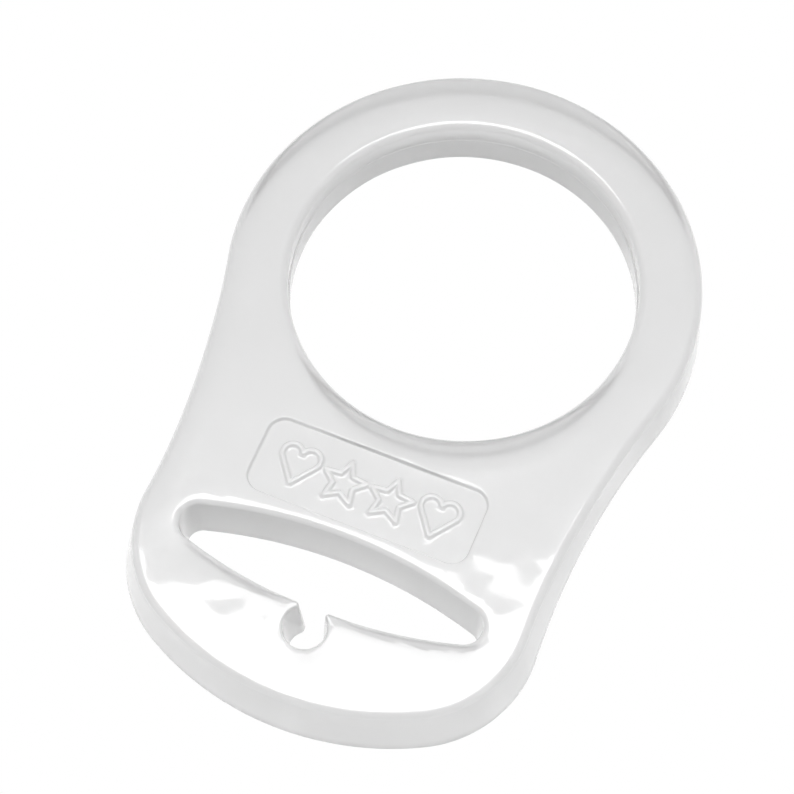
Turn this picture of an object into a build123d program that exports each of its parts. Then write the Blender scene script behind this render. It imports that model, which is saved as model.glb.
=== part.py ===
"""Adapter ring for a pacifier clip: one moulding of clear silicone.

The ring stretches over the pacifier's knob, and the strap of a pacifier clip loops through
the slot. The part lies flat, label face up (+Z), with the ring towards +Y and the strap bar
towards -Y. The origin is on the bore's axis, half way through the thickness.
"""

import os
from math import sqrt

from build123d import *

# Plate and ring (millimetres)
thickness = 4.0
bore_radius = 11.1
ring_radius = 15.3

# Outline below the ring: hollow neck arc, round hips, shallow bottom arc. This is the back
# face's outline, and the outer wall leans in from it by the draft to the front face's.
ring_draft = 0.25
hip_draft = 0.65
hip_center = Vector(5.1, -21.2)
hip_radius = 8.0
neck_radius = 48.5
bottom_radius = 18.8

# Strap slot: an oval of four tangent arcs with a keyhole notch in its lower edge, entered between
# two round lips. It narrows by the draft towards the back.
slot_center_y = -21.45
slot_half_length = 9.8
slot_half_height = 2.45
slot_end_radius = 1.2
slot_draft = 0.25
keyhole_center = Vector(0, -25.2)
keyhole_radius = 1.35
lip_radius = 0.2

# Rounded edges
front_rim = 0.35
back_rim = 0.3
slot_rim = 0.15

# Sunk label panel, with a row of small raised outlines standing on its floor
panel_center_y = -15.65
panel_length = 14.4
panel_height = 5.1
panel_corner_radius = 1.1
panel_depth = 0.28
panel_edge_radius = 0.1
motif_pitch = 3.05
motif_line_width = 0.36
motif_relief = 0.2
heart_lobe_center = Vector(0.6, 0.57)
heart_lobe_radius = 0.64
heart_tip = Vector(0, -1.3)
star_tip_reach = 1.44
star_waist_reach = 0.68
star_drop = 0.07

top = thickness / 2
panel_floor = top - panel_depth


def crossing(center_1, reach_1, center_2, reach_2):
    """The right-hand one of the two points reach_1 from center_1 and reach_2 from center_2."""
    step = center_2 - center_1
    along = (reach_1**2 - reach_2**2 + step.length**2) / (2 * step.length)
    across = sqrt(reach_1**2 - along**2)
    ahead = step.normalized()
    foot = center_1 + ahead * along
    sideways = Vector(-ahead.Y, ahead.X) * across
    return max(foot + sideways, foot - sideways, key=lambda point: point.X)


def toward(start, goal, reach):
    """The point at a distance of reach from start, in the direction of goal."""
    return start + (goal - start).normalized() * reach


def arc_about(center, start, end):
    """An arc round center from start to end, shorter than half a turn."""
    middle = toward(center, (start + end) / 2, (start - center).length)
    return ThreePointArc(start, middle, end)


def draw_outline(ring_inset, hip_inset):
    """Right half of the outer outline, from the top of the ring to the lowest point."""
    ring_reach, hip_reach = ring_radius - ring_inset, hip_radius - hip_inset
    bottom_reach = bottom_radius - hip_inset
    ring_center = Vector(0, 0)
    neck_center = crossing(
        ring_center, ring_reach + neck_radius, hip_center, hip_reach + neck_radius
    )
    bottom_drop = sqrt((bottom_reach - hip_reach) ** 2 - hip_center.X**2)
    bottom_center = Vector(0, hip_center.Y + bottom_drop)
    ring_end = toward(ring_center, neck_center, ring_reach)
    hip_start = toward(hip_center, neck_center, hip_reach)
    hip_end = toward(bottom_center, hip_center, bottom_reach)
    arc_about(ring_center, Vector(0, ring_reach), ring_end)
    arc_about(neck_center, ring_end, hip_start)
    arc_about(hip_center, hip_start, hip_end)
    arc_about(bottom_center, hip_end, bottom_center - Vector(0, bottom_reach))


def draw_slot(inset):
    """Right half of the strap slot: upper arc, end, lower arc, lip and half of the keyhole."""
    end_reach, half_height = slot_end_radius - inset, slot_half_height - inset
    keyhole_reach, lip_reach = keyhole_radius - inset, lip_radius + inset
    end_center = Vector(slot_half_length - slot_end_radius, slot_center_y)
    spread = end_center.X**2 + half_height**2 - end_reach**2
    side_radius = spread / (2 * (half_height - end_reach))
    side_offset = Vector(0, side_radius - half_height)
    upper_center = Vector(0, slot_center_y) - side_offset
    lower_center = Vector(0, slot_center_y) + side_offset
    lip_center = crossing(
        keyhole_center, keyhole_reach + lip_reach, lower_center, side_radius + lip_reach
    )
    end_top = toward(upper_center, end_center, side_radius)
    end_bottom = toward(lower_center, end_center, side_radius)
    lip_start = toward(lower_center, lip_center, side_radius)
    lip_end = toward(keyhole_center, lip_center, keyhole_reach)
    arc_about(upper_center, upper_center + Vector(0, side_radius), end_top)
    arc_about(end_center, end_top, end_bottom)
    arc_about(lower_center, end_bottom, lip_start)
    arc_about(lip_center, lip_start, lip_end)
    arc_about(keyhole_center, lip_end, keyhole_center - Vector(0, keyhole_reach))


def draw_heart():
    """Right half of a heart: a round lobe from the dip, then a straight side down to the tip."""
    dip_rise = sqrt(heart_lobe_radius**2 - heart_lobe_center.X**2)
    side_length = sqrt((heart_lobe_center - heart_tip).length ** 2 - heart_lobe_radius**2)
    dip = Vector(0, heart_lobe_center.Y + dip_rise)
    lobe_side = heart_lobe_center + Vector(heart_lobe_radius, 0)
    lobe_end = crossing(heart_tip, side_length, heart_lobe_center, heart_lobe_radius)
    arc_about(heart_lobe_center, dip, lobe_side)
    arc_about(heart_lobe_center, lobe_side, lobe_end)
    Line(lobe_end, heart_tip)


# The two motifs, as thin lines with half their width on each side of the drawn outline
with BuildSketch() as heart:
    with BuildLine():
        draw_heart()
        mirror(about=Plane.YZ)
    make_face()
    offset(amount=motif_line_width / 2)
    offset(amount=-motif_line_width, mode=Mode.SUBTRACT)

with BuildSketch() as star:
    star_corners = [
        Vector(0, star_tip_reach if turn % 2 == 0 else star_waist_reach).rotate(Axis.Z, 36 * turn)
        for turn in range(10)
    ]
    Polygon(*[corner - Vector(0, star_drop) for corner in star_corners], align=None)
    offset(amount=motif_line_width / 2)
    offset(amount=-motif_line_width, mode=Mode.SUBTRACT)


# The plate, whose outer wall leans in towards the front, with a rim at each face
with BuildPart() as adapter_ring:
    for height, ring_inset, hip_inset in ((-top, 0, 0), (top, ring_draft, hip_draft)):
        with BuildSketch(Plane.XY.offset(height)):
            with BuildLine():
                draw_outline(ring_inset, hip_inset)
                mirror(about=Plane.YZ)
            make_face()
    loft()
    outline_edges = adapter_ring.edges().group_by(Axis.Z)
    fillet(outline_edges[-1], front_rim)
    fillet(outline_edges[0], back_rim)

    # The round bore, straight, with a rim at each end
    with BuildSketch(Plane.XY.offset(-top)):
        Circle(bore_radius)
    extrude(amount=thickness, mode=Mode.SUBTRACT)
    bore_edges = adapter_ring.edges(Select.LAST).group_by(Axis.Z)
    fillet(bore_edges[-1], front_rim)
    fillet(bore_edges[0], back_rim)

    # The strap slot with its notch, narrower at the back, then its rims
    for height, inset in ((-top, slot_draft), (top, 0)):
        with BuildSketch(Plane.XY.offset(height)):
            with BuildLine():
                draw_slot(inset)
                mirror(about=Plane.YZ)
            make_face()
    loft(mode=Mode.SUBTRACT)
    slot_edges = adapter_ring.edges(Select.LAST).group_by(Axis.Z)
    fillet(slot_edges[-1], slot_rim)
    fillet(slot_edges[0], back_rim)

    # The sunk panel, with its floor and its edge both rounded
    with BuildSketch(Plane.XY.offset(top)):
        with Locations((0, panel_center_y)):
            RectangleRounded(panel_length, panel_height, panel_corner_radius)
    extrude(amount=-panel_depth, mode=Mode.SUBTRACT)
    panel_edges = adapter_ring.edges(Select.LAST).group_by(Axis.Z)
    fillet(panel_edges[0] + panel_edges[-1], panel_edge_radius)

    # The raised motifs on the panel's floor
    with BuildSketch(Plane.XY.offset(panel_floor)):
        with Locations((-1.5 * motif_pitch, panel_center_y), (1.5 * motif_pitch, panel_center_y)):
            add(heart.sketch)
        with Locations((-0.5 * motif_pitch, panel_center_y), (0.5 * motif_pitch, panel_center_y)):
            add(star.sketch)
    extrude(amount=motif_relief)

adapter_ring.part.label = "adapter_ring"

os.makedirs("parts", exist_ok=True)
export_step(adapter_ring.part, "parts/adapter_ring.step")
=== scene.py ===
# %% [markdown]
# # A clear silicone adapter ring
#
# The object is one soft moulding: a ring that stretches over the knob of a pacifier, and below
# it a bar with a slot for the strap of a pacifier clip. This notebook builds its looks round
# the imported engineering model. The model fixes the size and the place, and nothing here
# moves it.

# %% Load the engineering model
from math import atan2, ceil, cos, hypot, pi, radians, sin, sqrt, tau

import bmesh
import bpy
import numpy as np
from mathutils import Matrix, Vector
from mathutils.geometry import delaunay_2d_cdt


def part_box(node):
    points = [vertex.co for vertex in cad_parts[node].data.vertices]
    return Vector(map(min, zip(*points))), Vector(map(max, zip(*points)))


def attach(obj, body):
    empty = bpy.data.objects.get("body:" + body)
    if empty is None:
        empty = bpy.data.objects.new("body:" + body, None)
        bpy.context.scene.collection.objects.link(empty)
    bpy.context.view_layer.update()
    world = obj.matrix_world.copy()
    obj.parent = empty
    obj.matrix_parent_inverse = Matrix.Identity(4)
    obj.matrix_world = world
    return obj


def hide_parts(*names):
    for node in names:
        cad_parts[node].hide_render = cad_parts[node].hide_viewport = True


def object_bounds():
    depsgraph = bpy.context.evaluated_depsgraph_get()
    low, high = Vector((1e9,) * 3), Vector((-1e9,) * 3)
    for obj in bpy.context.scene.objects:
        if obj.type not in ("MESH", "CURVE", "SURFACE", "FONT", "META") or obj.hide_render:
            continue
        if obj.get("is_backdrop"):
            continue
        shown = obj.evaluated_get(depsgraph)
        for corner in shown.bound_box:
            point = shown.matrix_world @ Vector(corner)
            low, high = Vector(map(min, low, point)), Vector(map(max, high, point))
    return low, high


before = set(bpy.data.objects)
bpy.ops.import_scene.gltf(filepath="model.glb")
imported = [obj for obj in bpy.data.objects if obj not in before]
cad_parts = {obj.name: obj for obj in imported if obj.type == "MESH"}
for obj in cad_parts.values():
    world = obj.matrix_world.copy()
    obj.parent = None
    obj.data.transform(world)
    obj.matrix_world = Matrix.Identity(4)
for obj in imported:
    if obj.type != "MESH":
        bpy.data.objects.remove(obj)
cad_low, cad_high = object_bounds()
print("CAD box", tuple(cad_low), tuple(cad_high))

# %% [markdown]
# ## Sizes
#
# A drawing of a flat moulding needs few numbers. The thickness comes from the engineering model's
# box, and the rest are the radii that a toolmaker would cut, the same ones as in that model. They
# are kept in millimetres, because that is how moulds are drawn, and turned to metres where
# Blender needs them. The alternative is to measure everything from the model's mesh, which
# gives points and no radii.

# %% Driving sizes in millimetres
MM = 0.001
low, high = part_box("adapter_ring")
half = (high.z - low.z) / MM / 2

bore_radius = 11.1
ring_radius = 15.3
neck_radius = 48.5
hip_center = Vector((5.1, -21.2))
hip_radius = 8.0
bottom_radius = 18.8

slot_y = -21.45
slot_half_length = 9.8
slot_half_height = 2.45
slot_end_radius = 1.2
keyhole_center = Vector((0, -25.2))
keyhole_radius = 1.35
lip_radius = 0.2

panel_y = -15.65
panel_length = 14.4
panel_height = 5.1
panel_corner = 1.1
print(f"plate {2 * ring_radius:.1f} mm wide and {2 * half:.1f} mm thick")

# %% [markdown]
# ## Outlines from tangent arcs
#
# Every edge of the ring is a chain of arcs that meet without a corner, as a cutter would leave
# it. An arc that is tangent to two circles has its centre at a known distance from both of
# their centres, so each blend is found by crossing two circles. A spline through measured points
# would be quicker to draw, but it ripples, and clear material shows every ripple.


# %% Arc helpers
def crossing(center_1, reach_1, center_2, reach_2):
    """The right-hand one of the two points reach_1 from center_1 and reach_2 from center_2."""
    step = center_2 - center_1
    along = (reach_1**2 - reach_2**2 + step.length_squared) / (2 * step.length)
    across = sqrt(reach_1**2 - along**2)
    ahead = step.normalized()
    foot = center_1 + ahead * along
    sideways = Vector((-ahead.y, ahead.x)) * across
    return max(foot + sideways, foot - sideways, key=lambda point: point.x)


def toward(start, goal, reach):
    """The point at a distance of reach from start, in the direction of goal."""
    return start + (goal - start).normalized() * reach


def arc(center, start, end, spacing, hollow):
    """Points from start to end round center, each with its unit direction into the material."""
    first = atan2(*(start - center).yx)
    turn = (atan2(*(end - center).yx) - first + pi) % tau - pi
    reach = (start - center).length
    count = max(4, ceil(abs(turn) * reach / spacing))
    angles = first + turn * np.linspace(0, 1, count + 1)
    outward = np.column_stack([np.cos(angles), np.sin(angles)])
    return np.array(center) + reach * outward, outward if hollow else -outward


def closed_loop(arcs):
    """Joins the arcs of a right half, from top to bottom, and mirrors them to a closed loop."""
    points = np.concatenate([a[0][:-1] for a in arcs] + [arcs[-1][0][-1:]])
    inward = np.concatenate([a[1][:-1] for a in arcs] + [arcs[-1][1][-1:]])
    flip = np.array([-1, 1])
    points = np.concatenate([points, points[-2:0:-1] * flip])
    inward = np.concatenate([inward, inward[-2:0:-1] * flip])
    return points, inward


# %% Outer edge and bore
outer_step = 0.3
bore_step = 0.25


def outer_loop():
    """Ring, hollow neck, hip and shallow bottom arc, at the back face."""
    ring_center = Vector((0, 0))
    neck_center = crossing(ring_center, ring_radius + neck_radius,
                           hip_center, hip_radius + neck_radius)
    bottom_drop = sqrt((bottom_radius - hip_radius) ** 2 - hip_center.x**2)
    bottom_center = hip_center + Vector((-hip_center.x, bottom_drop))
    ring_end = toward(ring_center, neck_center, ring_radius)
    hip_start = toward(hip_center, neck_center, hip_radius)
    hip_end = toward(bottom_center, hip_center, bottom_radius)
    foot = bottom_center - Vector((0, bottom_radius))
    return closed_loop([
        arc(ring_center, Vector((0, ring_radius)), ring_end, outer_step, False),
        arc(neck_center, ring_end, hip_start, outer_step, True),
        arc(hip_center, hip_start, hip_end, outer_step, False),
        arc(bottom_center, hip_end, foot, outer_step, False),
    ])


def bore_loop():
    """The round bore, as two quarter turns of its right half."""
    center = Vector((0, 0))
    top, side, bottom = (center + Vector(way) * bore_radius for way in ((0, 1), (1, 0), (0, -1)))
    return closed_loop([
        arc(center, top, side, bore_step, True),
        arc(center, side, bottom, bore_step, True),
    ])


# %% Slot with its keyhole notch
# The points lie closer together on the tighter arcs
upper_step, end_step, lower_step = 0.22, 0.12, 0.2
lip_step, keyhole_step = 0.06, 0.1


def slot_loop():
    """The oval slot, the lips of its notch, and the keyhole, at the front face."""
    end_center = Vector((slot_half_length - slot_end_radius, slot_y))
    spread = end_center.x**2 + slot_half_height**2 - slot_end_radius**2
    side_radius = spread / (2 * (slot_half_height - slot_end_radius))
    offset = Vector((0, side_radius - slot_half_height))
    upper_center = Vector((0, slot_y)) - offset
    lower_center = Vector((0, slot_y)) + offset
    end_top = toward(upper_center, end_center, side_radius)
    end_bottom = toward(lower_center, end_center, side_radius)
    lip_center = crossing(keyhole_center, keyhole_radius + lip_radius,
                          lower_center, side_radius + lip_radius)
    lip_start = toward(lower_center, lip_center, side_radius)
    lip_end = toward(keyhole_center, lip_center, keyhole_radius)
    upper_start = upper_center + Vector((0, side_radius))
    notch_bottom = keyhole_center - Vector((0, keyhole_radius))
    print(f"slot side radius {side_radius:.1f} mm, notch neck {2 * (lip_center.x - lip_radius):.2f} mm")
    return closed_loop([
        arc(upper_center, upper_start, end_top, upper_step, True),
        arc(end_center, end_top, end_bottom, end_step, True),
        arc(lower_center, end_bottom, lip_start, lower_step, True),
        arc(lip_center, lip_start, lip_end, lip_step, False),
        arc(keyhole_center, lip_end, notch_bottom, keyhole_step, True),
    ])


outer, bore, slot = outer_loop(), bore_loop(), slot_loop()
print("points on the edges:", len(outer[0]), len(bore[0]), len(slot[0]))

# %% [markdown]
# ## The section of an edge
#
# Each edge has one section that runs round it: a soft bevel at the front face, a tighter corner,
# the wall, and a small round rim at the back. The outer wall and the slot's wall lean, since
# upright ones would stick in the mould. The bore's wall has the fine flash line that the two
# halves of a mould leave. A Bevel modifier rounds an edge evenly, but can't lean a wall or give it
# a flash line, so the section is a list of rows, each with its distance into the material and
# its height.

# %% Section sizes
bevel_radius = 0.65
bevel_end = 40
corner_radius = 0.35
back_rim = 0.3
bore_flash = 0.05
flash_half_width = 0.04
parting_z = 0.35

# How far the surface has turned from the flat face at each row, in degrees
FRONT_TURNS = (0, 8, 16, 24, 32, 40, 52, 64, 77, 90)
BACK_TURNS = (0, 15, 30, 45, 60, 75, 90)
# Rows down the wall, close together at the parting line
WALL_HEIGHTS = (1.2, parting_z + 3 * flash_half_width, parting_z + flash_half_width, parting_z,
                parting_z - flash_half_width, parting_z - 3 * flash_half_width, -0.5, -1.1)
print("rows on the front rim", len(FRONT_TURNS), "wall", len(WALL_HEIGHTS), "back rim", len(BACK_TURNS))


# %% Rim profiles
def rim_profile(turns, first_radius, change, second_radius):
    """Run and drop from the flat face, as the surface turns by each angle down to the wall."""
    run, drop = [0.0], [0.0]
    for start, end in zip(turns, turns[1:]):
        radius = first_radius if end <= change else second_radius
        run.append(run[-1] + radius * (sin(radians(end)) - sin(radians(start))))
        drop.append(drop[-1] + radius * (cos(radians(start)) - cos(radians(end))))
    return run, drop


def ease(value, start, end):
    """Zero before start and one after end, with a smooth rise between."""
    share = np.clip((value - start) / (end - start), 0, 1)
    return share * share * (3 - 2 * share)


def section_rows(loop, front_lean, back_lean, rim_scale, flash_height=0):
    """Rows of points round an edge: front bevel, wall and back rim, from flat face to flat face."""
    points, inward = loop
    run, drop = rim_profile(FRONT_TURNS, bevel_radius, bevel_end, corner_radius)
    back_run, back_drop = rim_profile(BACK_TURNS, back_rim, bevel_end, back_rim)
    wall_top, wall_foot = half - rim_scale * drop[-1], rim_scale * back_drop[-1] - half
    rows = [(front_lean + rim_scale * (run[-1] - r), half - rim_scale * d) for r, d in zip(run, drop)]
    for height in WALL_HEIGHTS:
        share = (wall_top - height) / (wall_top - wall_foot)
        flash = flash_height if height == parting_z else 0
        rows.append((front_lean + (back_lean - front_lean) * share - flash, height))
    rows += [(back_lean + rim_scale * (back_run[-1] - r), rim_scale * d - half)
             for r, d in reversed(list(zip(back_run, back_drop)))]
    every = np.ones(len(points))
    return [np.column_stack([points + inward * (inset * every)[:, None], height * every])
            for inset, height in rows]


# %% The three edges with their sections
ring_draft = 0.25
hip_draft = 0.65
slot_draft = 0.25
draft_change_y = (-8, -24)
lip_rim_scale = 0.3
slot_rim_scale = 0.75
rim_change_reach = (1.7, 3.5)


def edge_sections():
    """The rows of the outer edge, the bore and the slot, in that order."""
    below = ease(-outer[0][:, 1], -draft_change_y[0], -draft_change_y[1])
    outer_lean = ring_draft + (hip_draft - ring_draft) * below
    # The rim is smaller at the notch, whose lips have no room for the full one
    away = ease(np.hypot(slot[0][:, 0], slot[0][:, 1] - keyhole_center.y), *rim_change_reach)
    slot_scale = lip_rim_scale + (slot_rim_scale - lip_rim_scale) * away
    return [
        section_rows(outer, outer_lean, 0, 1),
        section_rows(bore, 0, 0, 1, bore_flash),
        section_rows(slot, 0, -slot_draft, slot_scale),
    ]


sections = edge_sections()
print("rows in a section", len(sections[0]))

# %% [markdown]
# ## Filling the flat faces
#
# The two flat faces are filled with a triangular grid, fine where the panel and its motifs will be
# pressed in and coarse elsewhere. A constrained Delaunay triangulation joins the edges' last rows
# and the grid into even triangles. Blender's plain fill would leave long slivers, and slivers
# shade and bend light in streaks.


# %% Tests for points and lines
def inside(points, loop):
    """True for the points inside a closed loop, by counting crossings of a ray along +X."""
    x1, y1 = loop.T
    x2, y2 = np.roll(loop, -1, axis=0).T
    result = np.zeros(len(points), bool)
    batch = 4000
    for start in range(0, len(points), batch):
        x, y = points[start:start + batch, :, None].transpose(1, 0, 2)
        spans = (y1 > y) != (y2 > y)
        cut = x1 + (y - y1) * (x2 - x1) / np.where(y2 == y1, 1, y2 - y1)
        result[start:start + batch] = (np.sum(spans & (x < cut), axis=1) % 2).astype(bool)
    return result


def gap_to(points, line):
    """Distance from each point to a closed line of short straight steps."""
    gap = np.full(len(points), np.inf)
    for start, step in zip(line, np.roll(line, -1, axis=0) - line):
        along = np.clip((points - start) @ step / (step @ step), 0, 1)
        gap = np.minimum(gap, np.hypot(*(points - start - along[:, None] * step).T))
    return gap


def grid(low, high, pitch):
    """A triangular grid of points over a rectangle."""
    rows = np.arange(low[1], high[1], pitch * sqrt(3) / 2)
    return np.array([
        (x, y)
        for number, y in enumerate(rows)
        for x in np.arange(low[0] + (number % 2) * pitch / 2, high[0], pitch)
    ])


def on_face(points, loops, margin):
    """True for the points between the outer loop and the two holes, at least margin from them."""
    keep = inside(points, loops[0]) & ~inside(points, loops[1]) & ~inside(points, loops[2])
    for loop in loops:
        keep[keep] = gap_to(points[keep], loop) > margin
    return keep


# %% [markdown]
# ## Label panel and motifs
#
# The sunk panel carries a row of small raised outlines. They are generic: a heart, two stars and a
# heart. Each is a closed line, drawn once with arcs and straight steps, and the nodes
# further down raise a ridge along it. The mesh needs rows of points beside each line, since
# a ridge is only as crisp as the points that it can move.

# %% Panel outline
row_step = 0.16
corner_steps = 14


def panel_loop(offset):
    """A rounded rectangle that lies offset outside the panel's outline."""
    x, y = panel_length / 2 - panel_corner, panel_height / 2 - panel_corner
    reach = panel_corner + offset
    quarters = np.radians(np.linspace(0, 90, corner_steps + 1) + np.arange(0, 360, 90)[:, None])
    corners = np.concatenate([
        np.array(corner) + reach * np.column_stack([np.cos(turns), np.sin(turns)])
        for corner, turns in zip(((x, y), (-x, y), (-x, -y), (x, -y)), quarters)
    ])
    filled = []
    for start, end in zip(corners, np.roll(corners, -1, axis=0)):
        count = max(1, round(hypot(*(end - start)) / row_step))
        filled.extend(start + (end - start) * step / count for step in range(count))
    return np.array(filled) + (0, panel_y)


def panel_gap(points):
    """Distance from the panel's outline, less than nothing inside it."""
    core = (panel_length / 2 - panel_corner, panel_height / 2 - panel_corner)
    reach = np.abs(points - (0, panel_y)) - core
    beyond = np.hypot(*np.maximum(reach, 0).T)
    return beyond + np.minimum(reach.max(axis=1), 0) - panel_corner


# %% Heart and star
motif_step = 0.06


def heart_path():
    """A heart: two round lobes that meet in a dip, and straight sides down to the point."""
    lobe, lobe_radius, tip = Vector((0.6, 0.57)), 0.64, Vector((0, -1.3))
    dip = Vector((0, lobe.y + sqrt(lobe_radius**2 - lobe.x**2)))
    side = crossing(tip, sqrt((lobe - tip).length_squared - lobe_radius**2), lobe, lobe_radius)
    top = lobe + Vector((0, lobe_radius))
    count = ceil((side - tip).length / motif_step)
    right = np.concatenate([
        arc(lobe, dip, top, motif_step, False)[0],
        arc(lobe, top, side, motif_step, False)[0][1:],
        [side.lerp(tip, step / count) for step in range(1, count + 1)],
    ])
    return np.concatenate([right, right[-2:0:-1] * (-1, 1)])


def star_path():
    """A five-pointed star, its straight sides divided into short steps."""
    tip_reach, waist_reach, drop, steps = 1.44, 0.68, 0.07, 12
    corners = [Vector((0, reach)) for reach in (tip_reach, waist_reach) * 5]
    corners = [corner @ Matrix.Rotation(radians(36 * turn), 2) for turn, corner in enumerate(corners)]
    path = [start.lerp(end, step / steps)
            for start, end in zip(corners, corners[1:] + corners[:1]) for step in range(steps)]
    return np.array(path) - (0, drop)


motif_pitch = 3.05
MOTIF_COLUMNS = (-1.5, -0.5, 0.5, 1.5)
motifs = [
    path() + (column * motif_pitch, panel_y)
    for column, path in zip(MOTIF_COLUMNS, (heart_path, star_path, star_path, heart_path))
]
print("points on the motifs", [len(path) for path in motifs])


# %% Rows of points beside each line
STROKE_ROWS = (0.05, 0.1, 0.15, 0.2, 0.26)
row_tolerance = 0.012


def stroke_points(path):
    """Points on rows beside a line, where they don't run into the line's other parts."""
    step = np.roll(path, -1, axis=0) - np.roll(path, 1, axis=0)
    across = np.column_stack([-step[:, 1], step[:, 0]]) / np.hypot(*step.T)[:, None]
    rows = [path]
    for reach in STROKE_ROWS:
        for side in (-1, 1):
            row = path + across * reach * side
            rows.append(row[np.abs(gap_to(row, path) - reach) < row_tolerance])
    return np.concatenate(rows)


def thinned(points, spacing):
    """The points with those too near an earlier one left out."""
    kept, cells = [], {}
    around = [(i, j) for i in (-1, 0, 1) for j in (-1, 0, 1)]
    for x, y in points:
        column, row = int(x // spacing), int(y // spacing)
        near = (p for i, j in around for p in cells.get((column + i, row + j), ()))
        if all((x - p[0])**2 + (y - p[1])**2 > spacing**2 for p in near):
            kept.append((x, y))
            cells.setdefault((column, row), []).append((x, y))
    return np.array(kept)


# %% Triangles between loops and free points
same_point = 1e-7


def triangulate(loops, free):
    """Even triangles between closed loops and free points, kept where they lie on the face."""
    lines, start = [], 0
    for loop in loops:
        count = len(loop)
        lines += [(start + i, start + (i + 1) % count) for i in range(count)]
        start += count
    points = [Vector(p) for p in np.concatenate([*loops, free])]
    result = delaunay_2d_cdt(points, lines, [], 0, same_point)
    points, triangles = np.array(result[0]), np.array(result[2])
    return points, triangles[on_face(points[triangles].mean(axis=1), loops[:3], 0)]


# %% Points of the two flat faces
# A rectangle round the whole plate, and the grid that covers it
plate_low, plate_high = (-16, -31), (16, 16)
coarse_pitch = 0.42
coarse_margin = 0.22
# Rows beside the panel's outline, and the finer grid on its floor
PANEL_ROWS = (0.12, 0.06, 0.02, -0.02, -0.06, -0.1, -0.14)
floor_half_height = 2.6
floor_pitch = 0.12
floor_margin = 0.21
panel_margin = 0.32
stroke_margin = 0.31
stroke_spacing = 0.036


def face_points(loops, front):
    """The loops and the free points of one flat face."""
    coarse = grid(plate_low, plate_high, coarse_pitch)
    coarse = coarse[on_face(coarse, loops, coarse_margin)]
    if not front:
        return loops, coarse
    panel_rows = [panel_loop(offset) for offset in PANEL_ROWS]
    floor = grid((-panel_length / 2, panel_y - floor_half_height),
                 (panel_length / 2, panel_y + floor_half_height), floor_pitch)
    floor = floor[panel_gap(floor) < -floor_margin]
    strokes = thinned(np.concatenate([stroke_points(path) for path in motifs]), stroke_spacing)
    near = np.min([gap_to(floor, path) for path in motifs], axis=0)
    free = [coarse[panel_gap(coarse) > panel_margin], floor[near > stroke_margin], strokes]
    return loops + panel_rows, np.concatenate(free)


flat_faces = {}
for front, row in ((True, 0), (False, -1)):
    loops = [rows[row][:, :2] for rows in sections]
    flat_faces[front] = triangulate(*face_points(loops, front))
    print("front" if front else "back", len(flat_faces[front][1]), "triangles")

# %% [markdown]
# ## One closed mesh
#
# The strips round the edges and the two filled faces share their border points, so welding close
# points makes one closed skin. Then the normals are turned outwards. Three values are stored
# on the points: which of them lie on the label side and how far each is from the panel's
# outline, for the nodes, and how far each is from the face's edges, for the material.


# %% Weld the skin
weld_gap = 0.002


def skin_mesh():
    """The plain moulding, before the panel is pressed in."""
    places, polygons, start = [], [], 0
    for front, (points, triangles) in flat_faces.items():
        height = half if front else -half
        places.append(np.column_stack([points, np.full(len(points), height)]))
        polygons += (triangles + start).tolist()
        start += len(points)
    for rows in sections:
        count = len(rows[0])
        i = np.arange(count)
        quads = np.column_stack([i, (i + 1) % count, (i + 1) % count + count, i + count])
        for row in range(len(rows) - 1):
            polygons += (quads + start + row * count).tolist()
        places += rows
        start += count * len(rows)
    mesh = bpy.data.meshes.new("silicone_skin")
    mesh.from_pydata((np.concatenate(places) * MM).tolist(), [], polygons)
    work = bmesh.new()
    work.from_mesh(mesh)
    bmesh.ops.remove_doubles(work, verts=work.verts, dist=weld_gap * MM)
    bmesh.ops.recalc_face_normals(work, faces=work.faces)
    open_edges = sum(not edge.is_manifold for edge in work.edges)
    print(f"open edges {open_edges}, volume {work.calc_volume(signed=True) / MM**3:.0f} mm3")
    work.to_mesh(mesh)
    work.free()
    return mesh


# %% Values on the points
def store_fields(mesh):
    """Stores label_side, and the distances from the panel and the edges in metres, on the points."""
    places = np.empty(len(mesh.vertices) * 3)
    mesh.vertices.foreach_get("co", places)
    places = places.reshape(-1, 3) / MM
    label_side = places[:, 2] > half - weld_gap / 2
    edge_gap = np.zeros(len(places))
    edge_gap[label_side] = np.min([gap_to(places[label_side, :2], rows[0][:, :2]) for rows in sections],
                                  axis=0)
    fields = {"label_side": label_side, "panel_gap": panel_gap(places[:, :2]) * MM,
              "edge_gap": edge_gap * MM}
    for name, values in fields.items():
        mesh.attributes.new(name, "FLOAT", "POINT").data.foreach_set("value", values.astype(float))


# %% Pieces and motif lines
def new_piece(name, mesh):
    """A new object at the origin, in the scene."""
    piece = bpy.data.objects.new(name, mesh)
    bpy.context.scene.collection.objects.link(piece)
    return piece


def line_piece(name, path):
    """A closed line of edges in metres, for the nodes to measure from."""
    mesh = bpy.data.meshes.new(name)
    lines = [(i, (i + 1) % len(path)) for i in range(len(path))]
    mesh.from_pydata([(x * MM, y * MM, 0) for x, y in path], lines, [])
    return new_piece(name, mesh)


ring = new_piece("silicone_ring", skin_mesh())
store_fields(ring.data)
heart_line = line_piece("heart_line", heart_path())
star_line = line_piece("star_line", star_path())
print("skin", len(ring.data.vertices), "points", len(ring.data.polygons), "faces")

# %% [markdown]
# ## Clear silicone rubber
#
# Liquid silicone rubber is moulded at heat against polished steel, so its skin is smooth and
# glossy. It bends light less than glass (index 1.41), and it is never quite clear: fillers in the
# rubber scatter what passes through it. Two layers say this. The body is a rough transmission with
# a small milky share, which turns walls and rims to an even grey, and a sharp clear coat of the
# same index keeps the gloss. The body is less rough near the edges, so that the rims still bend
# light into dark lines. A plain absorption in the volume makes thick places darker. Real
# scattering in the volume is nearer the truth, and takes far longer to render.


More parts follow.
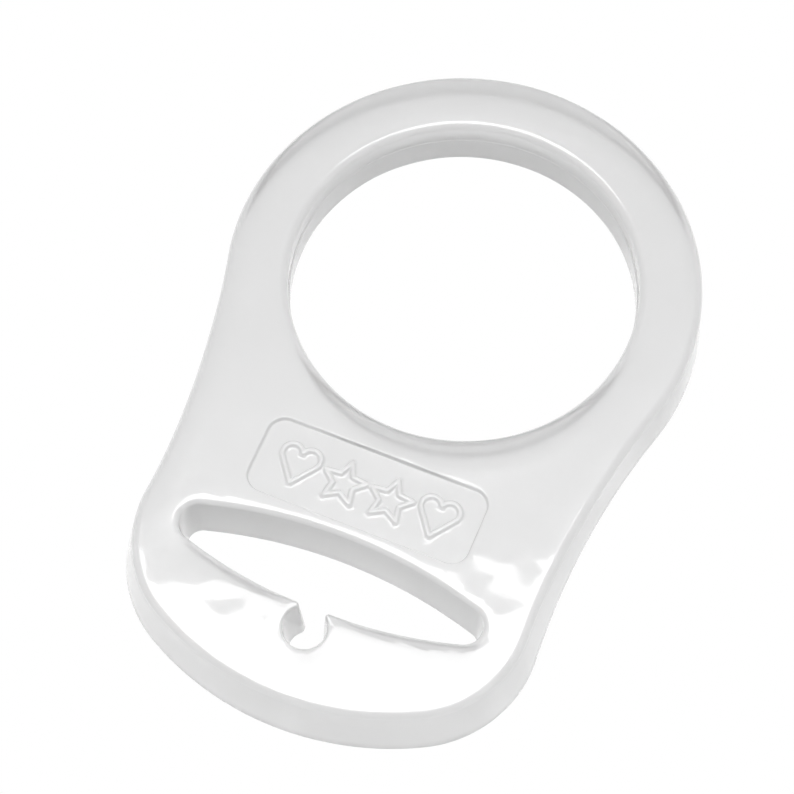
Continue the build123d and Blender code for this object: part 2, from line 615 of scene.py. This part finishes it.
# %% Node and colour helpers
def linear(hex_colour):
    """An sRGB hex value as a linear RGBA colour."""
    channels = [int(hex_colour[i:i + 2], 16) / 255 for i in (1, 3, 5)]
    return [c / 12.92 if c <= 0.04045 else ((c + 0.055) / 1.055) ** 2.4 for c in channels] + [1]


def add(tree, kind, inputs=(), **settings):
    """Adds a node. inputs is pairs of a socket's name or number and a value or a socket to link."""
    node = tree.nodes.new(kind)
    for name, value in settings.items():
        setattr(node, name, value)
    for socket, value in inputs:
        if isinstance(value, bpy.types.NodeSocket):
            tree.links.new(value, node.inputs[socket])
        else:
            node.inputs[socket].default_value = value
    return node


# %% Silicone material
SILICONE_IOR = 1.41
rim_roughness = 0.3
milky_from = 0.8


def clear_silicone():
    """Clear liquid silicone rubber, moulded on polished steel: glossy over a faint grey milk."""
    material = bpy.data.materials.new("clear_liquid_silicone_rubber_moulded")
    material.use_nodes = True
    tree = material.node_tree
    tree.nodes.clear()
    place = add(tree, "ShaderNodeTexCoord").outputs["Object"]
    # Clouds of filler about 4 mm across, which is a metre divided by the noise's scale
    cloud = add(tree, "ShaderNodeTexNoise", [("Vector", place), ("Scale", 250), ("Detail", 3)])
    milk = add(tree, "ShaderNodeMapRange", [
        ("Value", cloud.outputs["Fac"]), ("To Min", 0.4), ("To Max", 0.5)])
    # Rims and walls bend light in lines, and the face grows milkier away from them
    edge_gap = add(tree, "ShaderNodeAttribute", attribute_name="edge_gap")
    roughness = add(tree, "ShaderNodeMapRange", [
        ("Value", edge_gap.outputs["Fac"]), ("From Max", milky_from * MM),
        ("To Min", rim_roughness), ("To Max", milk.outputs["Result"])])
    # The mould's polish isn't perfect: grain 0.4 mm across, which softens the gloss a little
    grain = add(tree, "ShaderNodeTexNoise", [("Vector", place), ("Scale", 2500), ("Detail", 2)])
    bump = add(tree, "ShaderNodeBump", [
        ("Strength", 0.05), ("Distance", 0.02 * MM), ("Height", grain.outputs["Fac"])])
    skin = add(tree, "ShaderNodeBsdfPrincipled", [
        ("Base Color", linear("#F4F4F4")), ("Roughness", roughness.outputs["Result"]),
        ("IOR", SILICONE_IOR), ("Transmission Weight", 0.8), ("Normal", bump.outputs["Normal"]),
        ("Coat Weight", 1.0), ("Coat Roughness", 0.04), ("Coat IOR", SILICONE_IOR)])
    haze = add(tree, "ShaderNodeVolumeAbsorption", [("Color", linear("#BCBCBC")), ("Density", 60.0)])
    add(tree, "ShaderNodeOutputMaterial", [
        ("Surface", skin.outputs["BSDF"]), ("Volume", haze.outputs["Volume"])])
    return material


silicone = clear_silicone()

# %% [markdown]
# ## Pressing the panel and the motifs
#
# The last touches follow a rule at each point, so Geometry Nodes make them: the panel's recess
# from the stored distance, the row of motifs from two lines copied along the panel, and a slow
# waviness of a few hundredths of a millimetre, as soft rubber never lies quite flat. Proximity
# gives the distance to the nearest line, and a smooth step turns it into a ridge.
# Each size is a named input. Modelling the ridges by hand would fix their size for good.

# %% Sizes for the nodes
NODE_SIZES = {
    "Panel Y": panel_y, "Panel Depth": 0.28, "Panel Edge": 0.07, "Motif Pitch": motif_pitch,
    "Stroke Width": 0.36, "Stroke Edge": 0.05, "Stroke Relief": 0.2, "Face Waviness": 0.07,
}


# %% Motif lines, copied along the panel
def motif_row(tree, given):
    """Realised copies of the two lines: hearts on the two outer places, stars on the inner ones."""
    joined = add(tree, "GeometryNodeJoinGeometry")
    heart_first, star_first, star_last, heart_last = MOTIF_COLUMNS
    for shape, first, last in (("Heart", heart_first, heart_last), ("Star", star_first, star_last)):
        start_x = add(tree, "ShaderNodeMath", [(0, given["Motif Pitch"]), (1, first)],
                      operation="MULTIPLY")
        step_x = add(tree, "ShaderNodeMath", [(0, given["Motif Pitch"]), (1, last - first)],
                     operation="MULTIPLY")
        start = add(tree, "ShaderNodeCombineXYZ", [("X", start_x.outputs[0]), ("Y", given["Panel Y"])])
        step = add(tree, "ShaderNodeCombineXYZ", [("X", step_x.outputs[0])])
        places = add(tree, "GeometryNodeMeshLine", [
            ("Count", 2), ("Start Location", start.outputs[0]), ("Offset", step.outputs[0])])
        line = add(tree, "GeometryNodeObjectInfo", [("Object", given[shape])])
        copies = add(tree, "GeometryNodeInstanceOnPoints", [
            ("Points", places.outputs[0]), ("Instance", line.outputs["Geometry"])])
        tree.links.new(copies.outputs[0], joined.inputs[0])
    return add(tree, "GeometryNodeRealizeInstances", [(0, joined.outputs[0])]).outputs[0]


# %% Relief of the label side
def label_relief(tree, given, plan):
    """Height of the strokes less the depth of the panel, on the label side only."""
    side = add(tree, "GeometryNodeInputNamedAttribute", [("Name", "label_side")], data_type="FLOAT")
    gap = add(tree, "GeometryNodeInputNamedAttribute", [("Name", "panel_gap")], data_type="FLOAT")
    within = add(tree, "ShaderNodeMath", [(0, given["Panel Edge"]), (1, -1.0)], operation="MULTIPLY")
    recess = add(tree, "ShaderNodeMapRange", [
        ("Value", gap.outputs[0]), ("From Min", given["Panel Edge"]), ("From Max", within.outputs[0]),
        ("To Max", given["Panel Depth"])], interpolation_type="SMOOTHSTEP")
    near = add(tree, "GeometryNodeProximity", [
        (0, motif_row(tree, given)), ("Sample Position", plan)], target_element="EDGES")
    reach = add(tree, "ShaderNodeMath", [
        (0, given["Stroke Width"]), (1, 0.5), (2, given["Stroke Edge"])], operation="MULTIPLY_ADD")
    crest = add(tree, "ShaderNodeMath", [
        (0, given["Stroke Edge"]), (1, -3.0), (2, reach.outputs[0])], operation="MULTIPLY_ADD")
    stroke = add(tree, "ShaderNodeMapRange", [
        ("Value", near.outputs["Distance"]), ("From Min", reach.outputs[0]),
        ("From Max", crest.outputs[0]), ("To Max", given["Stroke Relief"])],
        interpolation_type="SMOOTHSTEP")
    relief = add(tree, "ShaderNodeMath", [
        (0, stroke.outputs["Result"]), (1, recess.outputs["Result"])], operation="SUBTRACT")
    shown = add(tree, "ShaderNodeMath", [(0, relief.outputs[0]), (1, side.outputs[0])],
                operation="MULTIPLY")
    return shown.outputs[0]


# %% Slow waviness
def waviness(tree, given, plan):
    """A gentle rise and fall across the plate, the same on both faces."""
    # Swells about 4 mm across, with finer ones on them
    swell = add(tree, "ShaderNodeTexNoise", [
        ("Vector", plan), ("Scale", 250.0), ("Detail", 2.0), ("Roughness", 0.45)])
    centred = add(tree, "ShaderNodeMath", [(0, swell.outputs[0]), (1, 0.5)], operation="SUBTRACT")
    wave = add(tree, "ShaderNodeMath", [(0, centred.outputs[0]), (1, given["Face Waviness"])],
               operation="MULTIPLY")
    return wave.outputs[0]


# %% The whole tree
def pressing_tree():
    """The tree that presses the panel, and the identifiers of its inputs."""
    tree = bpy.data.node_groups.new("press_panel_and_motifs", "GeometryNodeTree")
    kinds = {"Geometry": "NodeSocketGeometry", "Heart": "NodeSocketObject",
             "Star": "NodeSocketObject", "Material": "NodeSocketMaterial"}
    kinds.update({name: "NodeSocketFloat" for name in NODE_SIZES})
    ids = {name: tree.interface.new_socket(name, in_out="INPUT", socket_type=kind).identifier
           for name, kind in kinds.items()}
    tree.interface.new_socket("Geometry", in_out="OUTPUT", socket_type="NodeSocketGeometry")
    given = add(tree, "NodeGroupInput").outputs
    # Each point's place in the drawing, at the height of the motif lines
    place = add(tree, "GeometryNodeInputPosition")
    plan = add(tree, "ShaderNodeVectorMath", [(0, place.outputs[0]), (1, (1.0, 1.0, 0.0))],
               operation="MULTIPLY").outputs[0]
    rise = add(tree, "ShaderNodeMath", [
        (0, label_relief(tree, given, plan)), (1, waviness(tree, given, plan))], operation="ADD")
    lift = add(tree, "ShaderNodeCombineXYZ", [("Z", rise.outputs[0])])
    pressed = add(tree, "GeometryNodeSetPosition", [
        ("Geometry", given["Geometry"]), ("Offset", lift.outputs[0])])
    smooth = add(tree, "GeometryNodeSetShadeSmooth", [("Geometry", pressed.outputs[0])])
    real = add(tree, "GeometryNodeRealizeInstances", [("Geometry", smooth.outputs[0])])
    finish = add(tree, "GeometryNodeSetMaterial", [
        ("Geometry", real.outputs[0]), ("Material", given["Material"])])
    add(tree, "NodeGroupOutput", [(0, finish.outputs[0])])
    return tree, ids


# %% Press the moulding
def press(piece, heart, star, material):
    """Runs the tree on the skin and keeps the result as a plain mesh."""
    tree, ids = pressing_tree()
    modifier = piece.modifiers.new("press_panel_and_motifs", "NODES")
    modifier.node_group = tree
    for name, size in NODE_SIZES.items():
        modifier[ids[name]] = size * MM
    for name, value in (("Heart", heart), ("Star", star), ("Material", material)):
        modifier[ids[name]] = value
    bpy.context.view_layer.update()
    shaped = piece.evaluated_get(bpy.context.evaluated_depsgraph_get())
    mesh = bpy.data.meshes.new_from_object(shaped)
    piece.modifiers.remove(modifier)
    piece.data = mesh
    for name in ("label_side", "panel_gap"):
        mesh.attributes.remove(mesh.attributes[name])
    for helper in (heart, star):
        bpy.data.objects.remove(helper)
    triangles = sum(len(p.vertices) - 2 for p in mesh.polygons)
    print("pressed", len(mesh.vertices), "points", triangles, "triangles")


press(ring, heart_line, star_line, silicone)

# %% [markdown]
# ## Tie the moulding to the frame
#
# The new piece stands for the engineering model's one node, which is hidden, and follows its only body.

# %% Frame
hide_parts("adapter_ring")
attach(ring, "root")

# %% [markdown]
# ## Table and light
#
# Clear things are shown in bright field: a pale, evenly lit table behind them, and a darker room,
# so that the edges, which bend light from the room to the eye, draw themselves in grey. A wide
# soft light overhead puts a broad gleam on the flat bar and thin bright lines along the bevels.
# A dark-field set, light edges on black, would suit glass better than milky rubber.


# %% Light table
def light_table():
    """A pale glowing table top just under the part."""
    reach, gap = 3.0, 0.02 * MM
    z = cad_low.z - gap
    corners = [(-reach, -reach, z), (reach, -reach, z), (reach, reach, z), (-reach, reach, z)]
    mesh = bpy.data.meshes.new("light_table")
    mesh.from_pydata(corners, [], [(0, 1, 2, 3)])
    material = bpy.data.materials.new("pale_light_table")
    material.use_nodes = True
    tree = material.node_tree
    tree.nodes.clear()
    glow = add(tree, "ShaderNodeEmission", [("Color", linear("#FFFFFF")), ("Strength", 1.0)])
    add(tree, "ShaderNodeOutputMaterial", [("Surface", glow.outputs[0])])
    mesh.materials.append(material)
    return new_piece("light_table", mesh)


light_table()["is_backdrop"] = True

# %% Room and overhead light
view_azimuth = radians(19.83)


def room(strength):
    """An even dim room all round."""
    world = bpy.data.worlds.new("studio_room")
    bpy.context.scene.world = world
    world.use_nodes = True
    background = world.node_tree.nodes["Background"]
    background.inputs["Color"].default_value = linear("#FFFFFF")
    background.inputs["Strength"].default_value = strength


def overhead(forward, sideways, height, width, length, radiance):
    """A soft light over the part, square to the view: forward of the ring and to one side of it."""
    light = bpy.data.lights.new("overhead_softbox", "AREA")
    light.shape = "RECTANGLE"
    light.size, light.size_y = width, length
    light.energy = radiance * pi * width * length
    lamp = bpy.data.objects.new("overhead_softbox", light)
    turn = Matrix.Rotation(view_azimuth, 3, "Z")
    lamp.location = turn @ Vector((sideways, forward, height))
    lamp.rotation_euler = turn.to_euler()
    bpy.context.scene.collection.objects.link(lamp)


room(0.4)
overhead(forward=0.057, sideways=-0.04, height=0.6, width=0.34, length=0.3, radiance=8)

# %% [markdown]
# ## Camera
#
# A close view from the front right, well above the table. At this distance the near bar is drawn
# larger than the far ring, as it is to the eye.


# %% Camera
def camera():
    """The close view, with its place worked out from its angles and its distance."""
    elevation, roll = radians(62.3), radians(-0.64)
    distance = 158.6 * MM
    aim = Vector((-1.08, -8.38, 0)) * MM
    back = Vector((sin(view_azimuth) * cos(elevation), -cos(view_azimuth) * cos(elevation),
                   sin(elevation)))
    data = bpy.data.cameras.new("camera")
    data.lens = 112.66
    data.sensor_width = 36
    data.clip_start = 0.01
    eye = bpy.data.objects.new("camera", data)
    eye.location = back * distance
    turn = (aim - eye.location).to_track_quat("-Z", "Y").to_matrix()
    eye.rotation_euler = (turn @ Matrix.Rotation(roll, 3, "Z")).to_euler()
    bpy.context.scene.collection.objects.link(eye)
    bpy.context.scene.camera = eye


camera()
bpy.context.scene.view_settings.view_transform = "Standard"

# %% [markdown]
# ## The size
#
# The finished piece's box is printed, like the engineering model's near the top, so that the two can be
# compared.

# %% Size
low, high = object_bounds()
print("visual box", tuple(low), tuple(high))
